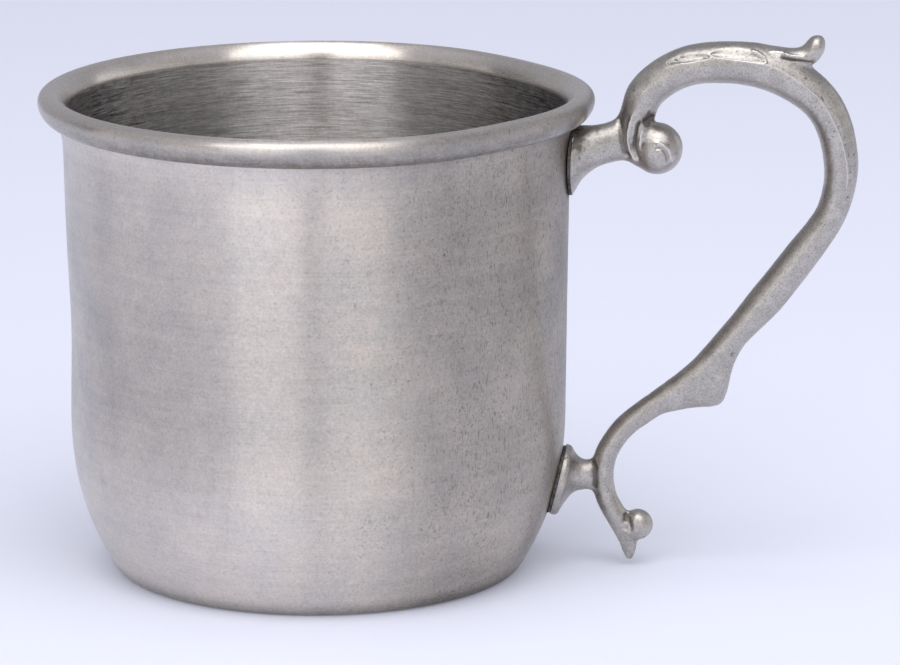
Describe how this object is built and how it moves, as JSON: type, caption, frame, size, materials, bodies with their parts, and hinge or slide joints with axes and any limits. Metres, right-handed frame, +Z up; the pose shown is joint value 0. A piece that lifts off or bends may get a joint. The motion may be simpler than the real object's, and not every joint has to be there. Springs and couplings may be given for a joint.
{
  "type": "baby cup",
  "caption": "Small spun pewter drinking cup with a rolled rim, rounded lower shoulder and flat base, and a cast scroll handle with a thumb rest soldered to its wall.",
  "frame": {"origin": "centre of the flat underside, where the cup stands", "axes": "+Z up along the cup's axis, +X towards the handle, +Y to the left when looking along +X"},
  "size_m": [0.1031, 0.07, 0.069],
  "materials": {
    "spun_pewter": "satin pewter sheet with fine lines running round the cup and small dents and scratches from use",
    "cast_pewter": "satin cast pewter, softly polished, darker in its hollows and creases",
    "solder": "dull grey solder"
  },
  "bodies": {
    "root": {"cup_body": "spun_pewter", "handle": "cast_pewter", "upper_solder": "solder", "lower_solder": "solder"}
  },
  "joints": []
}
